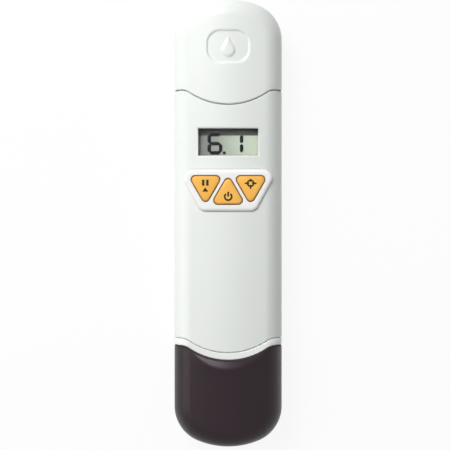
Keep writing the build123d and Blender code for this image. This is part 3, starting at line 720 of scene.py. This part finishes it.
def addJointShadowRing():
    # the pen's closed section drawn inward by two depths, and carried along the wave of the seam
    s = jointShadowSet
    inset, z, inX, inZ = sectionProfile(s["fillet"])
    loops = []
    for depth, seam in ((s["outer"], s["upper"]), (s["outer"], s["lower"]), (s["inner"], s["lower"]),
                        (s["inner"], s["upper"]), (s["outer"], s["upper"])):
        sideX, sideZ = penSet["width"] / 2 - inset - inX * depth, z + inZ * depth
        x = np.concatenate([
            sideX, np.linspace(sideX[-1], -sideX[-1], s["front"])[1:-1],
            -sideX[::-1], np.linspace(-sideX[0], sideX[0], s["back"])[1:]])
        high = np.concatenate([
            sideZ, np.full(s["front"] - 2, sideZ[-1]), sideZ[::-1], np.full(s["back"] - 1, sideZ[0])])
        loops.append(np.stack([x, waveLine(x, seam, penSet["waveDrop"]), high], -1))
    points = np.array(loops)
    mesh = meshFrom("jointShadowRing", points.reshape(-1, 3), gridFaces(points.shape[0], points.shape[1], 0))
    addPiece("jointShadowRing", mesh, "rubberBlack", "electrode_module")


addJointShadowRing()
print("joint ring built")


# keys: swollen rounded triangles with an edge darkened by painted shade
keySet = {
    "side": 11.4, "corner": 1.3, "spread": 7.45, "top": 20.28, "foot": 17.2,
    "bow": 0.010, "shoulder": 0.62, "shoulderShare": 0.80, "edge": 0.6,
    "highY": 12.31, "lowY": 9.39,
    "steps": 9, "outline": (10, 14), "sharp": 60,      # outline: points on a corner and on a side
}
keyPlaces = {      # x, y, and 1 where the triangle points up
    "hold": (-keySet["spread"], keySet["highY"], -1),
    "power": (0.0, keySet["lowY"], 1),
    "calibrate": (keySet["spread"], keySet["highY"], -1),
}


def roundedOutline(corners, radius, arcSteps, edgeSteps):
    # counter-clockwise outline of a polygon with rounded corners: an arc at each, then points to the next
    corners = np.asarray(corners, float)
    arcs = []
    for k in range(len(corners)):
        here, before, after = corners[k], corners[k - 1], corners[(k + 1) % len(corners)]
        inward = (before - here) / np.linalg.norm(before - here)
        onward = (after - here) / np.linalg.norm(after - here)
        half = math.acos(float(np.clip(inward @ onward, -1, 1))) / 2
        bisector = (inward + onward) / np.linalg.norm(inward + onward)
        centre = here + bisector * radius / math.sin(half)
        start = math.atan2(*(here + inward * radius / math.tan(half) - centre)[::-1])
        turns = start + np.linspace(0, math.pi - 2 * half, arcSteps)
        arcs.append(centre + radius * np.stack([np.cos(turns), np.sin(turns)], -1))
    whole = []
    for arc, following in zip(arcs, arcs[1:] + arcs[:1]):
        a, b = arc[-1], following[0]
        whole += [arc, a + (b - a) * np.linspace(0, 1, edgeSteps + 2)[1:-1, None]]
    return np.concatenate(whole)


def keyOutline(grow, way):
    # rounded triangle, its corners a third of a turn apart round the middle, drawn outside a key by grow
    radius = keySet["side"] / math.sqrt(3) + 2 * grow
    turns = math.pi / 2 * way + np.arange(3) * 2 * math.pi / 3
    corners = radius * np.stack([np.cos(turns), np.sin(turns)], -1)
    return roundedOutline(corners, keySet["corner"] + grow, *keySet["outline"])


def keyHeight(x, y):
    # height of a key's bowed top at a place counted from its middle
    return keySet["top"] - keySet["bow"] * (x ** 2 + y ** 2)


def addKey(name):
    # rings of the outline drawn in towards the middle; the outer ones turn down by a quarter round, and the
    # last two close the foot
    placeX, placeY, way = keyPlaces[name]
    outline = keyOutline(0, way)
    s, inner = keySet, keySet["shoulderShare"]
    turns = np.linspace(0, math.pi / 2, s["steps"])
    shares = np.concatenate([
        np.linspace(0, inner, s["steps"])[:-1], inner + (1 - inner) * np.sin(turns), [1, 0]])
    drops = np.concatenate([np.zeros(s["steps"] - 1), s["shoulder"] * (1 - np.cos(turns)), [0, 0]])
    ring = outline[None] * shares[:, None, None]
    z = keyHeight(ring[..., 0], ring[..., 1]) - drops[:, None]
    z[-2:] = s["foot"]
    points = np.concatenate([ring + (placeX, placeY), z[..., None]], -1)
    points = np.concatenate([points, points[:, :1]], 1)
    mesh = meshFrom(name + "KeyCap", points.reshape(-1, 3), gridFaces(points.shape[0], points.shape[1], 0))
    # share of painted shade, 0 on the key's top and growing to 1 down its shoulder
    edge = mesh.attributes.new("edgeShadeShare", "FLOAT", "POINT")
    place = np.empty(len(mesh.vertices) * 3)
    mesh.vertices.foreach_get("co", place)
    place = place.reshape(-1, 3) / mm
    sunk = keyHeight(place[:, 0] - placeX, place[:, 1] - placeY) - place[:, 2]
    edge.data.foreach_set("value", ease(sunk / s["shoulder"] / s["edge"]).astype(np.float32))
    addPiece(name + "KeyCap", mesh, "keyAmber", name + "_key", [name + "_button"], s["sharp"])


for name in keyPlaces:
    addKey(name)
print("keys built")


# keypad plate: rounded outer edge and soft lips round the keys
plateSet = {
    "corners": [(-9.2, 3.8), (9.2, 3.8), (16.7, 17.85), (-16.7, 17.85)],
    "corner": 3.0, "foot": 18.02, "top": 19.7, "round": 1.15, "lip": 0.28, "clearance": 0.15,
    "steps": 9, "outline": (12, 30), "sharp": 50,      # outline: points on a corner and on a side
}


def plateOutline(inset):
    # each corner moves to where its two sides meet when they are drawn in by the inset, and is rounded
    corners = np.array(plateSet["corners"])
    sides = np.roll(corners, -1, 0) - corners
    normals = np.stack([-sides[:, 1], sides[:, 0]], -1) / np.linalg.norm(sides, axis=1)[:, None]
    moved = []
    for k in range(len(corners)):
        a, b = normals[k - 1], normals[k]
        moved.append(corners[k] + np.linalg.solve(np.stack([a, b]), np.array([inset, inset])))
    return roundedOutline(moved, plateSet["corner"] - inset, *plateSet["outline"])


def ringBand(rings, heights):
    # closed rings of equal count joined into a band
    rows = np.stack([atHeight(ring, z) for ring, z in zip(rings, heights)])
    rows = np.concatenate([rows, rows[:, :1]], 1)
    return rows.reshape(-1, 3), gridFaces(rows.shape[0], rows.shape[1], 0)


def addPlate():
    # an outer band with a quarter round, a lip round each key, and fills between them at the top and the foot
    s = plateSet
    turns = np.linspace(0, math.pi / 2, s["steps"])
    insets = s["round"] * (1 - np.cos(turns))
    heights = s["top"] - s["round"] * (1 - np.sin(turns))
    bands = [ringBand([plateOutline(0)] + [plateOutline(i) for i in insets], [s["foot"], *heights])]
    tops, feet = [plateOutline(s["round"])], [plateOutline(0)]
    grows = s["clearance"] + s["lip"] * (1 - np.sin(turns[::-1]))
    lips = s["top"] - s["lip"] * (1 - np.cos(turns[::-1]))
    for placeX, placeY, way in keyPlaces.values():
        rings = [keyOutline(grow, way) + (placeX, placeY) for grow in grows]
        bands.append(ringBand([rings[0]] + rings, [s["foot"], *lips]))
        tops.append(rings[-1])
        feet.append(rings[0])
    points, faces = [], []
    for some, quads in bands:
        faces += [tuple(f) for f in (quads + sum(len(p) for p in points))]
        points.append(some)
    for loops, z in ((tops, s["top"]), (feet, s["foot"])):
        start = sum(len(p) for p in points)
        fills = tessellate_polygon([[Vector((p[0], p[1], 0)) for p in loop] for loop in loops])
        faces += [tuple(start + i for i in f) for f in fills]
        points.append(np.concatenate([atHeight(loop, z) for loop in loops]))
    mesh = meshFrom("keypadPlate", np.concatenate(points), faces)
    addPiece("keypadPlate", mesh, "plateWhite", "meter", ["keypad_bezel"], s["sharp"])


addPlate()
print("keypad plate built")


# marks printed on the keys; each shape is a strip between two lines of points
printSet = {"lift": 0.012, "wall": 0.05, "weld": 0.001, "barSteps": 7, "ringSteps": 40}


def stripMesh(name, strips, placeX, placeY, height):
    # strips laid at height(x, y), and moved by their place
    points, faces = [], []
    for one, other in strips:
        strip = np.stack([np.asarray(one, float), np.asarray(other, float)])
        z = height(strip[..., 0], strip[..., 1])
        faces.append(gridFaces(2, strip.shape[1], sum(len(p) for p in points)))
        points.append(np.concatenate([strip + (placeX, placeY), z[..., None]], -1).reshape(-1, 3))
    return meshFrom(name, np.concatenate(points), np.concatenate(faces), printSet["weld"], True)


def bar(x0, y0, x1, y1, width):
    # straight stroke: its middle line, moved half the width to either side
    a, b = np.array([x0, y0]), np.array([x1, y1])
    across = np.array([-(b - a)[1], (b - a)[0]]) / np.linalg.norm(b - a) * width / 2
    line = a + (b - a) * np.linspace(0, 1, printSet["barSteps"])[:, None]
    return line + across, line - across


def ringMark(x, y, radius, width, start=0.0, end=360.0):
    # part of a ring: its circle, widened by half the width either way; start and end in degrees from +x
    turns = np.radians(np.linspace(start, end, printSet["ringSteps"]))
    way = np.stack([np.cos(turns), np.sin(turns)], -1)
    return (x, y) + way * (radius + width / 2), (x, y) + way * (radius - width / 2)


def arrowMark(x, y, half, height):
    # filled triangle that points up: its two flanks, from the ends of the foot to the tip
    line = np.linspace(0, 1, printSet["barSteps"])[:, None]
    left = np.array([x - half, y]) + line * np.array([half, height])
    right = np.array([x + half, y]) + line * np.array([-half, height])
    return left, right


def onKey(x, y):
    # a hair over the key's bowed top
    return keyHeight(x, y) + printSet["lift"]


markShapes = {      # mm from the middle of the key
    "hold": [
        bar(-0.78, -0.05, -0.78, 1.95, 0.82), bar(0.58, -0.05, 0.58, 1.95, 0.82),
        arrowMark(-0.1, -2.0, 1.0, 1.4)],
    "power": [ringMark(0, -0.75, 1.15, 0.60, 128, 412), bar(0, -0.7, 0, 0.9, 0.60)],
    "calibrate": [
        ringMark(-0.05, 0.75, 1.0, 0.56),
        bar(-2.0, 0.75, -0.5, 0.75, 0.54), bar(0.4, 0.75, 1.9, 0.75, 0.54),
        bar(-0.05, 1.2, -0.05, 2.2, 0.54), bar(-0.05, 0.3, -0.05, -1.1, 0.54)],
}
for name, shapes in markShapes.items():
    markMesh = stripMesh(name + "KeyPrint", shapes, *keyPlaces[name][:2], onKey)
    mark = addPiece(name + "KeyPrint", markMesh, "inkDark", name + "_key")
    wallIn(mark, printSet["wall"])
print("key prints built")


# display: a slab with a small bevel round its top and bottom, and the digits on it
panelSet = {
    "half": (11.2, 6.1), "y": 26.85, "low": 14.0, "high": 15.9, "corner": 0.3, "bevel": 0.15,
    "outline": (6, 1), "sharp": 30,      # outline: points on a corner and on a side
}


def addPanel():
    # four rings of the outline up the slab, and a face at each end
    s = panelSet

    def outline(inset):
        x, low, high = s["half"][0] - inset, s["y"] - s["half"][1] + inset, s["y"] + s["half"][1] - inset
        return roundedOutline([(-x, low), (x, low), (x, high), (-x, high)], s["corner"], *s["outline"])

    heights = [s["low"], s["low"] + s["bevel"], s["high"] - s["bevel"], s["high"]]
    points, quads = ringBand([outline(inset) for inset in (s["bevel"], 0, 0, s["bevel"])], heights)
    faces = [tuple(f) for f in quads]
    loop = outline(s["bevel"])
    for z in (s["low"], s["high"]):
        faces.append(tuple(range(len(points), len(points) + len(loop))))
        points = np.concatenate([points, atHeight(loop, z)])
    mesh = meshFrom("displayPanel", points, faces)
    addPiece("displayPanel", mesh, "displayGreyPaintedShade", "meter", ["display_panel"], s["sharp"])


addPanel()

digitSet = {
    "stroke": 1.2, "gap": 0.07, "taper": 0.42, "z": 15.93, "low": 23.35, "middle": 26.4, "high": 29.4,
    "cells": [(-6.3, -2.5, "acdefg"), (0.55, 4.47, "bc")],      # left, right and the lit strokes
    "point": (-1.3, 23.35, 0.26, 0.52),      # x, y, radius and width
}


def segment(x0, y0, x1, y1):
    # six-sided stroke with pointed ends: the points along its two long sides
    s = digitSet
    a, b = np.array([x0, y0]), np.array([x1, y1])
    along = (b - a) / np.linalg.norm(b - a)
    across = np.array([-along[1], along[0]]) * s["stroke"] / 2
    tip, shoulder = along * s["gap"], along * (s["gap"] + s["stroke"] * s["taper"])
    line = [a + tip, a + shoulder, b - shoulder, b - tip]
    return (np.array([line[0], line[1] + across, line[2] + across, line[3]]),
            np.array([line[0], line[1] - across, line[2] - across, line[3]]))


def digitStrips(left, right, lit):
    # the lit strokes of one digit, lettered as on any seven-stroke display
    s = digitSet
    places = {
        "a": (left, s["high"], right, s["high"]), "b": (right, s["middle"], right, s["high"]),
        "c": (right, s["low"], right, s["middle"]), "d": (left, s["low"], right, s["low"]),
        "e": (left, s["low"], left, s["middle"]), "f": (left, s["middle"], left, s["high"]),
        "g": (left, s["middle"], right, s["middle"]),
    }
    return [segment(*places[key]) for key in "abcdefg" if key in lit]


def onPanel(x, y):
    return np.full(x.shape, digitSet["z"])


litStrips = [strip for cell in digitSet["cells"] for strip in digitStrips(*cell)]
litStrips.append(ringMark(*digitSet["point"]))
digitMesh = stripMesh("displayDigits", litStrips, 0, 0, onPanel)
digits = addPiece("displayDigits", digitMesh, "inkDisplay", "meter")
wallIn(digits, printSet["wall"])
print("display built")
